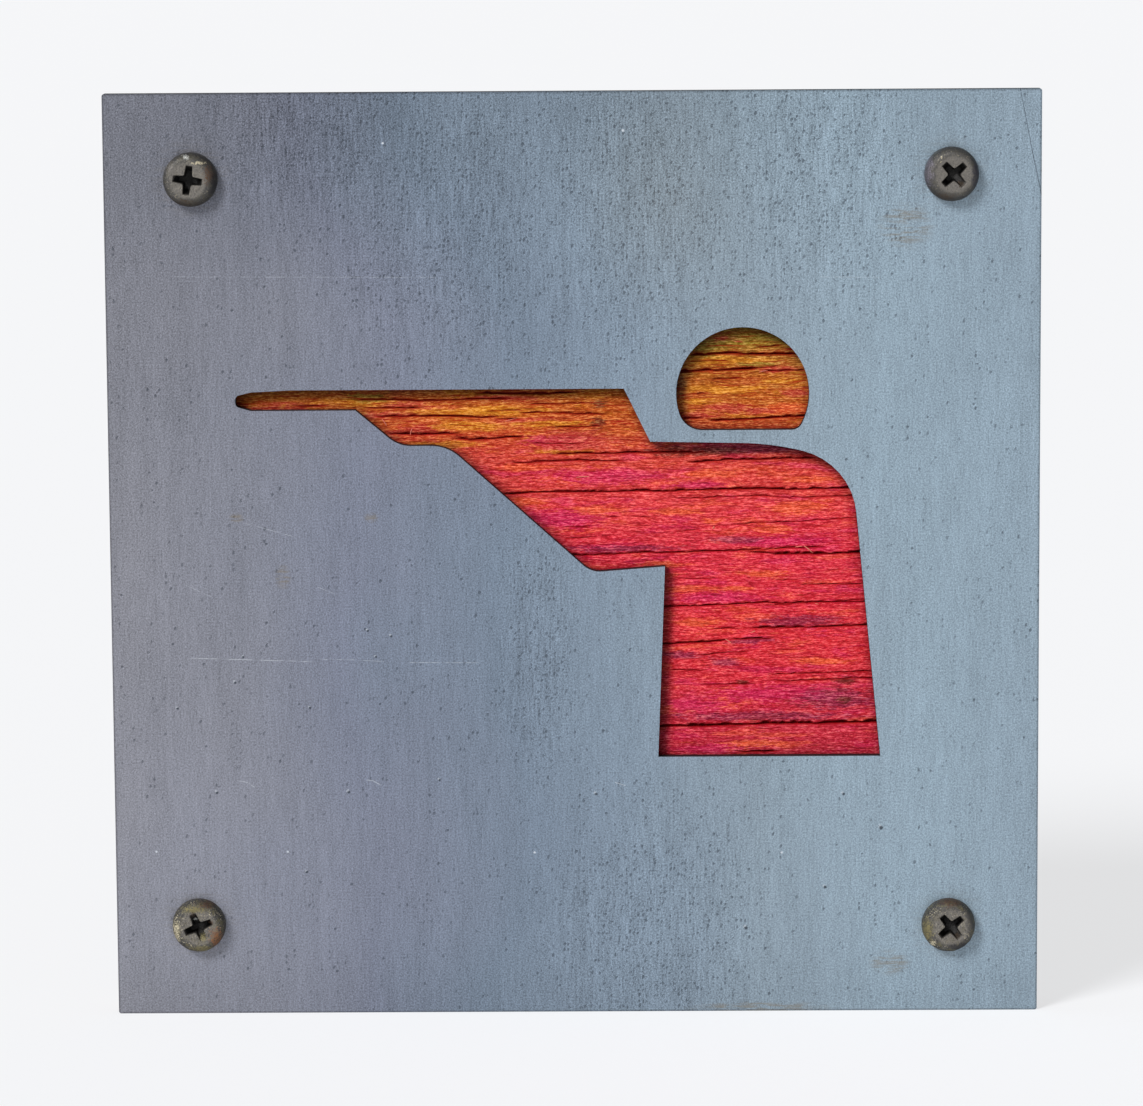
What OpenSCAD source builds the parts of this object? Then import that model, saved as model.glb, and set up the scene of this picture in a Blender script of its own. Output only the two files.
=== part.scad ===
// Square steel sign with a sport shooter's figure cut through it, screwed onto a dyed softwood board.
// All sizes are in millimetres. The front faces -Y and +Z is up.
// The origin lies in the middle of the footprint, on the surface that the sign stands on.

/* [Face plate] */
// Width of the steel plate
plate_w = 150; // [125:1:220]
// Height of the steel plate
plate_h = 150; // [125:1:220]
// Thickness of the steel plate
plate_t = 2; // [1:0.5:4]
// Rounding of the plate's four corners
plate_corner_r = 0.4; // [0.2:0.1:3]

/* [Backing board] */
// Thickness of the board
board_t = 8; // [8:0.5:20]
// How far the board's sides and top stay behind the plate's edges
board_inset = 1.5; // [0.5:0.5:6]
// Worn rounding of the board's long edges, on its back
board_edge_r = 1; // [0.5:0.25:3]
// Width of a drying check where it opens on the board's face
check_w = 0.5; // [0.2:0.1:1.2]
// Depth of a drying check
check_depth = 0.9; // [0.3:0.1:3]

/* [Screws] */
// Distance from the plate's edges to the middle of each screw
screw_inset = 14; // [9:0.5:18]
// Diameter of a screw head
head_d = 8.7; // [7:0.1:10]
// Height of a screw head
head_h = 2.6; // [1.8:0.1:3.5]
// Height of the upright rim round a screw head
head_rim_h = 0.8; // [0.3:0.1:1.2]
// Diameter of the flat top of a screw head
head_flat_d = 6; // [5.2:0.1:6.6]
// Diameter over the crests of the thread
thread_d = 4.2; // [3:0.1:4.6]
// Depth of the thread
thread_depth = 0.5; // [0.2:0.05:0.7]
// Distance between two crests of the thread
thread_pitch = 1.4; // [0.8:0.1:2]
// Length of a screw that is driven into the board
screw_bite = 7.5; // [5:0.5:7.5]
// Length of a screw's point
point_l = 2.8; // [1.5:0.1:4]
// Clearance between a screw's thread and its hole in the plate, on the radius
plate_hole_gap = 0.4; // [0.1:0.1:0.8]
// Clearance round a fastener in its pilot hole, on the radius
pilot_gap = 0.05; // [0.02:0.01:0.2]
// Span of the cross recess over two wings
recess_span = 4.8; // [3.6:0.1:5]
// Width of one wing of the cross recess
recess_wing = 1.1; // [0.7:0.05:1.4]
// Depth of the cross recess
recess_depth = 1.9; // [1:0.1:2.1]
// Turn of the recess in the top left screw, counter-clockwise from the front
top_left_turn = -8; // [-45:1:45]
// Turn of the recess in the top right screw
top_right_turn = 43; // [-45:1:45]
// Turn of the recess in the bottom left screw
bottom_left_turn = 22; // [-45:1:45]
// Turn of the recess in the bottom right screw
bottom_right_turn = 40; // [-45:1:45]

/* [Cut-out head] */
// Distance from the plate's middle across to the middle of the head
head_x = 27.2; // [20:0.1:32]
// Distance from the plate's middle up to the middle of the head
head_z = 26.4; // [25.5:0.1:36]
// Radius of the head
head_r = 10.7; // [8:0.1:13]
// Distance from the middle of the head down to its flat chin
chin_drop = 5.9; // [3:0.1:6.5]
// Rounding under the face
chin_r = 3.9; // [1:0.1:4.5]
// Rounding under the nape
nape_r = 1.8; // [0.5:0.1:3.5]

/* [Cut-out arm and rifle] */
// Reach of the muzzle, left of the plate's middle
muzzle_reach = 54.4; // [45:0.1:58]
// Height of the barrel's top line over the plate's middle
barrel_top_z = 27.3; // [26.5:0.1:29]
// Height of the barrel's opening
barrel_h = 3.3; // [2.5:0.1:5]
// Length of the muzzle's blunt end
muzzle_bevel_l = 2.5; // [1.5:0.1:4]
// How far the muzzle's upper bevel falls
muzzle_top_fall = 0.9; // [0.3:0.1:1]
// How far the muzzle's lower bevel rises
muzzle_bottom_rise = 0.7; // [0.3:0.1:0.8]
// Length of the shallow rise from the muzzle to the barrel's top line
sight_l = 8.8; // [5:0.1:12]
// Rounding of the muzzle's two corners
muzzle_r = 0.75; // [0.2:0.05:0.9]
// Place of the fore-end's notch under the barrel, left of the plate's middle
fore_end_reach = 35.1; // [32:0.1:40]
// Front end of the hand's level underside, left of the plate's middle
hand_front_reach = 28.2; // [26:0.1:30]
// Back end of the hand's level underside, left of the plate's middle
hand_back_reach = 20.4; // [18:0.1:23]
// Height of the hand's level underside over the plate's middle
hand_z = 18.2; // [16:0.1:20]
// Rounding in front of the hand
hand_front_r = 5.6; // [1:0.1:6]
// Rounding behind the hand
hand_back_r = 6.9; // [1:0.1:8]
// Distance from the plate's middle across to the elbow
elbow_x = 2.7; // [-2:0.1:6]
// Drop of the elbow under the plate's middle
elbow_drop = 2.5; // [1.8:0.1:6]
// Rounding of the elbow
elbow_r = 4; // [1:0.1:5]
// Distance from the plate's middle across to the rear end of the barrel's top line
stock_x = 8.1; // [4:0.1:10]

/* [Cut-out body] */
// Distance from the plate's middle across to the neck
neck_x = 12.3; // [11:0.1:16]
// Height of the neck over the plate's middle
neck_z = 18.7; // [17:0.1:19]
// Distance from the plate's middle across to the bend of the shoulder
shoulder_x = 32; // [28:0.1:34]
// How far the shoulder falls from the neck to its bend
shoulder_fall = 0.4; // [0:0.1:2]
// Rounding of the shoulder's bend
shoulder_r = 44; // [10:1:60]
// Distance from the plate's middle across to the top of the back
back_top_x = 44.7; // [42:0.1:48]
// Height of the top of the back over the plate's middle
back_top_z = 15.1; // [13:0.1:16]
// Rounding of the top of the back
back_r = 11.5; // [3:0.1:13]
// Distance from the plate's middle across to the lower end of the back
hem_back_x = 49.4; // [44:0.1:54]
// Distance from the plate's middle across to the lower front corner
hem_front_x = 13.4; // [8:0.1:20]
// Drop of the level hem under the plate's middle
hem_drop = 32.8; // [20:0.1:38]
// Distance from the plate's middle across to the armpit
armpit_x = 14.6; // [12:0.1:18]
// Drop of the armpit under the plate's middle
armpit_drop = 1.6; // [0:0.1:3]

/* [Hanger] */
// Gap between the board's back and the wall
wall_gap = 2.2; // [1.6:0.1:4]
// Thickness of the hanger's strip
strip_t = 0.8; // [0.5:0.1:1.1]
// Height of the hanger's strip
strip_h = 8; // [6:0.5:12]
// Length of the hanger's raised middle, between its bends
strip_middle_l = 28; // [20:1:40]
// Length of each flat foot of the hanger
strip_foot_l = 7; // [5:0.5:10]
// Length of each bend, seen from above
strip_bend_l = 1.6; // [1:0.1:3]
// Distance from the plate's top edge down to the middle of the hanger
hanger_drop = 20; // [12:1:30]
// Distance between two teeth
tooth_pitch = 2.2; // [1.5:0.1:3]
// Height of a tooth
tooth_h = 1.7; // [1:0.1:2.5]
// Diameter of a nail's shank
nail_d = 1.4; // [1:0.1:2]
// Length of a nail under its head
nail_l = 6.5; // [5:0.5:7]
// Diameter of a nail's head
nail_head_d = 3.2; // [2.4:0.1:4]
// Thickness of a nail's head
nail_head_h = 0.5; // [0.3:0.1:0.7]
// Clearance between a nail and its hole in the strip, on the radius
strip_hole_gap = 0.2; // [0.1:0.05:0.4]

/* [Bumpers] */
// Diameter of a bumper where it sticks to the board
bumper_d = 9.5; // [6:0.5:14]
// Diameter of a bumper's flat end
bumper_tip_d = 6.5; // [3:0.5:8]
// Distance from the board's side to the middle of a bumper
bumper_inset = 9; // [8:0.5:20]
// Height of the middle of a bumper over the bottom edge
bumper_z = 11; // [8:0.5:20]

/* [Hidden] */
$fn = 64;

// Straight pieces in each rounding
arc_steps = 8;
// A cut runs this far past the faces that it opens
cut_over = 1;
// Heights of the drying checks, from the plate's middle, and each one's lean in degrees
checks = [[56, 0.4], [46, -0.5], [32.6, 0.2], [29.9, 0.5], [22.2, -0.3], [17.2, 0.4], [10.8, 0.3],
    [0.4, 0.4], [-7.9, 0.6], [-11.8, 0.5], [-14.4, 0.3], [-27.4, 0.6], [-41, -0.3], [-55, 0.5]];
// Least distance from a drying check to the board's top and bottom edges
check_margin = 4;
// How far each hand-drilled screw sits off its place, across and up: two at the top, then two at the bottom
screw_shifts = [[0, 0.3], [-0.4, 0.5], [-0.6, 0.8], [-0.5, 0.3]];

// Places of the layers along Y, from the screw heads in front to the wall behind
sign_depth = head_h + plate_t + board_t + wall_gap;
plate_front_y = head_h - sign_depth / 2;
plate_back_y = plate_front_y + plate_t;
board_back_y = plate_back_y + board_t;
wall_y = board_back_y + wall_gap;

board_w = plate_w - 2 * board_inset;
board_h = plate_h - board_inset;
screw_x = plate_w / 2 - screw_inset;
screw_places = [
    [-screw_x, plate_h - screw_inset] + screw_shifts[0],
    [screw_x, plate_h - screw_inset] + screw_shifts[1],
    [-screw_x, screw_inset] + screw_shifts[2],
    [screw_x, screw_inset] + screw_shifts[3]];
screw_l = plate_t + screw_bite;
plate_hole_r = thread_d / 2 + plate_hole_gap;
pilot_r = thread_d / 2 + pilot_gap;
hanger_z = plate_h - hanger_drop;
nail_x = strip_middle_l / 2 + strip_bend_l + strip_foot_l / 2;
bumper_x = board_w / 2 - bumper_inset;

// Outline of the head: a circle cut by the chin, with a rounding at each end of the cut
chin_z = head_z - chin_drop;
head_outline = concat(
    arc([head_x, head_z], head_r, bearing(nape_r), 180 - bearing(chin_r), 5 * arc_steps),
    arc(chin_centre(chin_r, -1), chin_r, 180 - bearing(chin_r), 270, arc_steps),
    arc(chin_centre(nape_r, 1), nape_r, -90, bearing(nape_r), arc_steps));

// Corners of the figure as [across, up, rounding], clockwise from the muzzle's top
barrel_bottom_z = barrel_top_z - barrel_h;
figure_corners = [
    [-muzzle_reach, barrel_top_z - muzzle_top_fall, muzzle_r],
    [muzzle_bevel_l - muzzle_reach, barrel_top_z - muzzle_top_fall / 3, muzzle_r],
    [sight_l - muzzle_reach, barrel_top_z, muzzle_r],
    [stock_x, barrel_top_z, 0],
    [neck_x, neck_z, 0],
    [shoulder_x, neck_z - shoulder_fall, shoulder_r],
    [back_top_x, back_top_z, back_r],
    [hem_back_x, -hem_drop, 0],
    [hem_front_x, -hem_drop, 0],
    [armpit_x, -armpit_drop, 0],
    [elbow_x, -elbow_drop, elbow_r],
    [-hand_back_reach, hand_z, hand_back_r],
    [-hand_front_reach, hand_z, hand_front_r],
    [-fore_end_reach, barrel_bottom_z, 0],
    [muzzle_bevel_l - muzzle_reach, barrel_bottom_z, muzzle_r],
    [-muzzle_reach, barrel_bottom_z + muzzle_bottom_rise, muzzle_r]];

// Points along an arc, by its centre, radius and two bearings
function arc(centre, r, from, to, steps) =
    [for (i = [0 : steps]) centre + r * [cos(from + (to - from) * i / steps), sin(from + (to - from) * i / steps)]];

// Middle of the rounding between the head's circle and its chin, on the left (-1) or the right (1)
function chin_centre(r, side) =
    [head_x + side * sqrt(pow(head_r - r, 2) - pow(chin_drop - r, 2)), chin_z + r];

// Bearing at which that rounding leaves the circle, for the right side
function bearing(r) = -asin((chin_drop - r) / (head_r - r));

// Helpers for a closed list of corners: one corner's place, and an angle brought within a half turn
function place(corners, i) = let (c = corners[(i + len(corners)) % len(corners)]) [c[0], c[1]];
function unit(v) = v / norm(v);
function half_turn(a) = a > 180 ? a - 360 : a < -180 ? a + 360 : a;

// Half the angle between the two edges at a corner
function half_angle(corners, i) =
    acos(unit(place(corners, i - 1) - place(corners, i)) * unit(place(corners, i + 1) - place(corners, i))) / 2;

// Length of edge that a corner's rounding uses on each side
function reach(corners, i) =
    let (k = (i + len(corners)) % len(corners)) corners[k][2] / tan(half_angle(corners, k));

// Share of its rounding that fits at corner i beside the rounding at corner j
function share(corners, i, j) =
    let (wanted = reach(corners, i) + reach(corners, j))
    wanted == 0 ? 1 : min(1, norm(place(corners, i) - place(corners, j)) / wanted);

// Points of one corner, rounded by an arc that is tangent to both edges
function rounded_corner(corners, i) =
    let (b = place(corners, i),
        u = unit(place(corners, i - 1) - b),
        v = unit(place(corners, i + 1) - b),
        half = half_angle(corners, i),
        r = corners[i][2] * min(share(corners, i, i - 1), share(corners, i, i + 1)),
        centre = b + unit(u + v) * r / sin(half),
        first = b + u * r / tan(half) - centre,
        last = b + v * r / tan(half) - centre,
        from = atan2(first[1], first[0]),
        sweep = half_turn(atan2(last[1], last[0]) - from))
    r == 0 ? [b] : arc(centre, r, from, from + sweep, arc_steps);

function rounded_outline(corners) = [for (i = [0 : len(corners) - 1]) each rounded_corner(corners, i)];

// Stands a flat drawing up, facing the front, with its back at the given depth
module facing_front(back_y) {
    translate([0, back_y, 0]) rotate([90, 0, 0]) children();
}

// Repeats a drawing at the four screws
module at_screws() {
    for (spot = screw_places) translate([spot[0], spot[1], 0]) children();
}

module face_plate() {
    half_w = plate_w / 2;
    r = plate_corner_r;
    sheet = [[-half_w, 0, r], [-half_w, plate_h, r], [half_w, plate_h, r], [half_w, 0, r]];
    color([0.50, 0.56, 0.62]) facing_front(plate_back_y) difference() {
        linear_extrude(plate_t) polygon(rounded_outline(sheet));
        translate([0, plate_h / 2, -cut_over]) linear_extrude(plate_t + 2 * cut_over) {
            polygon(head_outline);
            polygon(rounded_outline(figure_corners));
        }
        translate([0, 0, -cut_over]) at_screws() cylinder(h = plate_t + 2 * cut_over, r = plate_hole_r);
    }
}

// A V-shaped groove right across the board's face, as dry softwood splits along its grain
module drying_check() {
    rotate([0, 90, 0]) linear_extrude(board_w + 4 * cut_over, center = true)
        polygon([[check_w / 2, -cut_over], [check_w / 2, 0], [0, check_depth], [-check_w / 2, 0],
            [-check_w / 2, -cut_over]]);
}

module backing_board() {
    r = board_edge_r;
    back = board_t;
    section = [[0, 0, 0], [0, board_h, 0], [back, board_h, r], [back, 0, r]];
    color([0.80, 0.30, 0.24]) difference() {
        translate([-board_w / 2, plate_back_y, 0]) rotate([90, 0, 90])
            linear_extrude(board_w) polygon(rounded_outline(section));
        for (check = checks) if (abs(check[0]) < plate_h / 2 - board_inset - check_margin)
            translate([0, plate_back_y, plate_h / 2 + check[0]]) rotate([0, -check[1], 0]) drying_check();
        facing_front(plate_back_y + screw_bite + pilot_gap) at_screws()
            cylinder(h = screw_bite + pilot_gap + cut_over, r = pilot_r);
        for (side = [-1, 1]) translate([side * nail_x, board_back_y + cut_over, hanger_z]) rotate([90, 0, 0])
            cylinder(h = nail_l - strip_t + pilot_gap + cut_over, r = nail_d / 2 + pilot_gap);
    }
}

// Pan-head screw that stands on its head's underside, with the head up
module pan_head_screw(turn) {
    flat_r = head_flat_d / 2;
    rim_r = head_d / 2;
    crest_r = thread_d / 2;
    root_r = crest_r - thread_depth;
    crown = [for (i = [0 : arc_steps]) [
        flat_r + (rim_r - flat_r) * sin(90 * i / arc_steps),
        head_rim_h + (head_h - head_rim_h) * cos(90 * i / arc_steps)]];
    turns = floor((screw_l - point_l) / thread_pitch);
    ridges = [for (i = [0 : turns - 1]) each [
        [root_r, -thread_pitch * i],
        [crest_r, -thread_pitch * (i + 0.5)],
        [root_r, -thread_pitch * (i + 1)]]];
    color([0.33, 0.32, 0.31]) difference() {
        rotate_extrude() polygon(concat([[0, head_h]], crown, [[rim_r, 0]], ridges,
            [[root_r, point_l - screw_l], [0, -screw_l]]));
        rotate([0, 0, turn]) cross_recess();
    }
}

// Cross recess for a driver: two crossed wings that narrow towards the bottom, and a round well
module cross_recess() {
    half = recess_span / 2;
    narrow = half * (1 - recess_depth / recess_span);
    over = half + (half - narrow) * cut_over / recess_depth;
    translate([0, 0, head_h]) {
        for (quarter = [0, 90]) rotate([90, 0, quarter]) linear_extrude(recess_wing, center = true)
            polygon([[-over, cut_over], [over, cut_over], [narrow, -recess_depth], [-narrow, -recess_depth]]);
        translate([0, 0, -recess_depth]) cylinder(h = recess_depth + cut_over, r = recess_wing * 0.85);
    }
}

module screw_at(spot, turn) {
    translate([spot[0], 0, spot[1]]) facing_front(plate_front_y) pan_head_screw(turn);
}

module screw_top_left() { screw_at(screw_places[0], top_left_turn); }
module screw_top_right() { screw_at(screw_places[1], top_right_turn); }
module screw_bottom_left() { screw_at(screw_places[2], bottom_left_turn); }
module screw_bottom_right() { screw_at(screw_places[3], bottom_right_turn); }

// Steel strip on two flat feet: its raised middle has teeth along the lower edge that catch a wall nail
module sawtooth_hanger() {
    mid = strip_middle_l / 2;
    foot = mid + strip_bend_l;
    end = foot + strip_foot_l;
    rise = wall_gap - strip_t;
    pairs = floor((strip_middle_l / tooth_pitch - 1) / 2);
    color([0.72, 0.70, 0.66]) translate([0, board_back_y, hanger_z]) difference() {
        translate([0, 0, -strip_h / 2]) linear_extrude(strip_h) polygon([
            [-end, 0], [-foot, 0], [-mid, rise], [mid, rise], [foot, 0], [end, 0],
            [end, strip_t], [foot, strip_t], [mid, wall_gap], [-mid, wall_gap], [-foot, strip_t], [-end, strip_t]]);
        for (i = [-pairs : pairs])
            translate([i * tooth_pitch, wall_gap + cut_over, -strip_h / 2]) rotate([90, 0, 0])
                linear_extrude(wall_gap + 2 * cut_over) polygon([
                    [-tooth_pitch / 2, 0], [0, tooth_h], [tooth_pitch / 2, 0], [0, -tooth_h]]);
        for (side = [-1, 1]) translate([side * nail_x, strip_t + cut_over, 0]) rotate([90, 0, 0])
            cylinder(h = strip_t + 2 * cut_over, r = nail_d / 2 + strip_hole_gap);
    }
}

// Short flat-headed nail, driven from behind through a foot of the hanger
module hanger_nail(side) {
    r = nail_d / 2;
    head = nail_head_d / 2;
    color([0.70, 0.68, 0.62]) translate([side * nail_x, board_back_y + strip_t, hanger_z]) rotate([-90, 0, 0])
        rotate_extrude() polygon([[0, nail_head_h], [head * 0.8, nail_head_h], [head, nail_head_h / 2], [head, 0],
            [r, 0], [r, 2 * r - nail_l], [0, -nail_l]]);
}

module hanger_nail_left() { hanger_nail(-1); }
module hanger_nail_right() { hanger_nail(1); }

// Soft round pad on the board's back, with a domed edge and a flat end that rests on the wall
module bumper(side) {
    base = bumper_d / 2;
    tip = bumper_tip_d / 2;
    dome = [for (i = [0 : arc_steps]) [
        tip + (base - tip) * cos(90 * i / arc_steps),
        wall_gap * (0.25 + 0.75 * sin(90 * i / arc_steps))]];
    color([0.16, 0.16, 0.17]) translate([side * bumper_x, board_back_y, bumper_z]) rotate([-90, 0, 0])
        rotate_extrude() polygon(concat([[0, 0], [base, 0]], dome, [[0, wall_gap]]));
}

module bumper_left() { bumper(-1); }
module bumper_right() { bumper(1); }

face_plate();
backing_board();
screw_top_left();
screw_top_right();
screw_bottom_left();
screw_bottom_right();
sawtooth_hanger();
hanger_nail_left();
hanger_nail_right();
bumper_left();
bumper_right();
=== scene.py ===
import math

import bmesh
import bpy
import numpy as np
from mathutils import Matrix, Vector
from mathutils.bvhtree import BVHTree


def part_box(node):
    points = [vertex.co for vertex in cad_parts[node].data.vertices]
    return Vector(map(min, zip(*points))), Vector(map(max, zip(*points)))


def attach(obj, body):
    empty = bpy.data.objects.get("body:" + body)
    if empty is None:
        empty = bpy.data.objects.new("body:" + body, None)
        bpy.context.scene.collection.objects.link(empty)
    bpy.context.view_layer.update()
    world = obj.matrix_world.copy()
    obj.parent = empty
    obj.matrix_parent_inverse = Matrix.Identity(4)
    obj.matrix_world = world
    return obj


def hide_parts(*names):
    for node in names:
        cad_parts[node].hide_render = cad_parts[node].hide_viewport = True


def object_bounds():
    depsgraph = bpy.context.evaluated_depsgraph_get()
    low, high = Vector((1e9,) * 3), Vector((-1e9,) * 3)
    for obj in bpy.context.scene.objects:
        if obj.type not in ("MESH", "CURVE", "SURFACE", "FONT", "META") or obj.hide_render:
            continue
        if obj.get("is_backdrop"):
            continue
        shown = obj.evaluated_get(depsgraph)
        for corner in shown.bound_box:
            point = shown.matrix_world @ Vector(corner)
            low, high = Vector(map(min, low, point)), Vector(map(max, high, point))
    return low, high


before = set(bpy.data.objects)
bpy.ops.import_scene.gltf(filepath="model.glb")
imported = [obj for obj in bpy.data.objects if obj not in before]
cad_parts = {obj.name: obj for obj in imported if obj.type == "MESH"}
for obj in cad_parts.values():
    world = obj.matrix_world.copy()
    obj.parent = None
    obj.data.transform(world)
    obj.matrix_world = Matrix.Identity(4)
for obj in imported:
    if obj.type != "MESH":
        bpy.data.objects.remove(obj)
cad_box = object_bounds()

# Backing board: a slice of sawn softwood with its grain from side to side, dyed on the front in bands from
# amber at the top to crimson below. Weather has raised its fibres and opened drying checks along the grain.
# It carries every fastener, so it has the pilot holes of the four screws and of the two hanger nails.

MM = 0.001

board_low, board_high = (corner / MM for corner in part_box("backing_board"))

# The part of the face that the figure lays open, where the mesh is finest
open_left, open_right, open_bottom, open_top = -56.0, 51.0, 41.0, 113.0
# How far apart the mesh's points lie: across outside that part, in the arm's half and in the body's, then up
coarse_column, arm_column, body_column = 2.4, 1.0, 0.62
coarse_row, fine_row = 2.6, 0.188
# Radius of the board's worn corners at its back, points round a corner, and rows on its edges and its back
back_corner_r, corner_points, edge_rows, back_rows = 1.0, 5, 6, 150
# How far behind the plate the highest fibres of the face lie
face_clearance = 0.02

# Drying checks in the open part: start across and up, end across and up, and width
drying_checks = (
    (28.5, 108.7, 34.4, 108.8, 0.30),
    (18.0, 107.6, 37.0, 107.6, 0.50),
    (17.0, 106.3, 26.4, 106.4, 0.20),
    (15.6, 104.7, 30.8, 105.3, 0.62),
    (28.6, 105.3, 34.2, 105.5, 0.24),
    (29.4, 104.7, 38.5, 104.8, 0.32),
    (21.6, 103.4, 27.8, 103.6, 0.28),
    (28.3, 103.3, 31.0, 103.4, 0.22),
    (17.4, 101.3, 22.6, 101.3, 0.26),
    (26.4, 101.2, 30.6, 101.1, 0.20),
    (16.0, 97.2, 21.6, 97.2, 0.38),
    (21.2, 96.7, 39.0, 97.5, 0.46),
    (-16.4, 101.6, 1.0, 101.5, 0.44),
    (-36.0, 100.5, -9.6, 100.5, 0.38),
    (-8.4, 99.6, 4.0, 99.8, 0.26),
    (-34.5, 99.0, -23.5, 99.1, 0.34),
    (-45.6, 99.5, -38.8, 99.7, 0.30),
    (-14.6, 98.6, -6.4, 98.6, 0.22),
    (-9.6, 98.3, 6.4, 98.1, 0.34),
    (-33.0, 97.7, -11.6, 97.6, 0.42),
    (-13.6, 97.5, -7.6, 97.2, 0.30),
    (-4.8, 95.8, 5.6, 96.2, 0.28),
    (-30.6, 94.9, -18.0, 95.1, 0.46),
    (-20.0, 94.0, -7.2, 94.4, 0.46),
    (-7.8, 93.2, 2.0, 93.2, 0.24),
    (-3.8, 91.6, 22.0, 91.9, 0.44),
    (17.6, 90.2, 39.6, 90.8, 0.44),
    (-10.6, 90.2, 9.0, 90.5, 0.36),
    (-12.4, 85.2, 48.4, 85.8, 0.46),
    (15.0, 84.4, 47.0, 84.5, 0.26),
    (8.0, 81.2, 13.4, 81.1, 0.24),
    (25.0, 79.9, 47.8, 81.0, 0.26),
    (-3.6, 79.6, 3.6, 79.6, 0.20),
    (15.0, 78.9, 21.2, 79.2, 0.20),
    (-2.8, 77.7, 3.8, 78.0, 0.22),
    (-2.0, 75.0, 28.0, 75.8, 0.38),
    (25.0, 75.8, 41.0, 76.2, 0.30),
    (27.4, 75.4, 34.4, 75.1, 0.42),
    (31.4, 75.1, 50.5, 75.4, 0.64),
    (16.4, 71.1, 24.8, 71.1, 0.18),
    (31.6, 70.9, 37.4, 70.9, 0.18),
    (35.4, 70.0, 47.8, 70.0, 0.22),
    (41.0, 67.4, 49.6, 67.7, 0.24),
    (11.0, 66.6, 50.0, 67.4, 0.38),
    (30.2, 66.7, 40.4, 67.3, 0.22),
    (21.0, 62.8, 28.0, 62.8, 0.26),
    (28.0, 62.8, 50.4, 63.5, 0.42),
    (11.6, 60.5, 25.4, 60.9, 0.48),
    (24.6, 61.2, 33.0, 61.3, 0.36),
    (19.4, 58.6, 29.0, 59.1, 0.26),
    (31.4, 59.5, 36.6, 59.5, 0.22),
    (14.0, 56.1, 22.2, 56.2, 0.22),
    (30.6, 55.3, 50.0, 55.8, 0.28),
    (19.2, 53.8, 30.2, 54.0, 0.26),
    (31.4, 54.3, 50.4, 54.7, 0.28),
    (11.0, 46.8, 52.0, 47.6, 0.72),
    (25.4, 42.7, 33.6, 42.7, 0.40),
)
# Small checks, which lie anywhere on the face: how many there are, and their longest and widest
small_checks = 120
small_check_length = 8.0
small_check_width = 0.16

# How far a check wanders up and down, how ragged it is, and how far from its ends it tapers
check_wander, check_rag, check_taper = 0.30, 0.18, 1.8
# How narrow a check gets for its width, how much it swells from that, how dirty the finest check is, and how
# much dirt a check's width adds
check_narrow, check_swell, least_dirt, dirt_for_width = 0.34, 0.76, 0.3, 1.6
# How deep a check is for its width, and how far raised fibres and wide bands stand over worn early wood
depth_for_width = 1.8
fibre_relief = 0.10
band_relief = 0.12
# How strongly rows of the mesh are drawn to a check, and from how far
row_pull, row_reach = 0.72, 0.55
# How far the painted shadow of the plate's edges reaches over the face, and how much further right of and
# below them
painted_shadow_reach, painted_shadow_right, painted_shadow_below = 1.7, 0.5, 0.6


def blotches(across, up, length, width, seed):
    """Smooth random values from 0 to 1 that change over this length across and this width up."""
    cells = 256
    lattice = np.random.default_rng(seed).random((cells, cells))
    u, v = np.asarray(across) / length + 90, np.asarray(up) / width + 70
    i, j = np.floor(u).astype(int), np.floor(v).astype(int)
    s, t = u - i, v - j
    s, t = s * s * (3 - 2 * s), t * t * (3 - 2 * t)
    i, j, right, above = i % cells, j % cells, (i + 1) % cells, (j + 1) % cells
    lower = lattice[i, j] * (1 - s) + lattice[right, j] * s
    upper = lattice[i, above] * (1 - s) + lattice[right, above] * s
    return lower * (1 - t) + upper * t


def all_checks():
    """The drying checks that the figure lays open, and the small ones."""
    rng = np.random.default_rng(12)
    yield from drying_checks
    for _ in range(small_checks):
        left, height = rng.uniform(open_left, open_right), rng.uniform(open_bottom, open_top)
        length = rng.uniform(0.3, 1) * small_check_length
        yield left, height, left + length, height + 0.02 * length, rng.uniform(0.5, 1) * small_check_width


def check_paths(across):
    """For each check and each place across: how high its middle runs, half its width, and how dirty it is."""
    for number, (left, left_up, right, right_up, width) in enumerate(all_checks()):
        share = (across - left) / (right - left)
        ragged = blotches(across, across * 0, 0.6, 1, 50 + number)
        wander = blotches(across, across * 0, 5.0, 1, 150 + number)
        path = left_up + (right_up - left_up) * share
        path = path + check_wander * (wander - 0.5) + check_rag * (ragged - 0.5)
        ends = np.clip(np.minimum(share, 1 - share) * (right - left) / check_taper, 0, 1)
        half = width / 2 * ends * (check_narrow + check_swell * ragged)
        yield path, half, ends * min(1, least_dirt + dirt_for_width * width)


def rows_over_checks(across, rows):
    """Heights of the face's points at each place across: these rows, drawn close together over each check."""
    up = np.repeat(rows[None, :], len(across), axis=0)
    for path, _, dirt in check_paths(across):
        here = dirt > 0
        off = up[here] - path[here, None]
        up[here] -= row_pull * dirt[here, None] * off * np.exp(-(off / row_reach) ** 2)
    return up


def check_depths(across, up):
    depth, dirt = np.zeros_like(up), np.zeros_like(up)
    for path, half, dirty in check_paths(across):
        here = dirty > 0
        off = np.abs(up[here] - path[here, None])
        half = half[here, None]
        gap = np.clip(1 - off / np.maximum(half, 0.02), 0, 1)
        depth[here] = np.maximum(depth[here], 2 * depth_for_width * half * np.sqrt(gap))
        dirt[here] = np.maximum(dirt[here], dirty[here, None] * np.clip(1.3 - off / (half + 0.05), 0, 1))
    return depth, dirt


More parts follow.
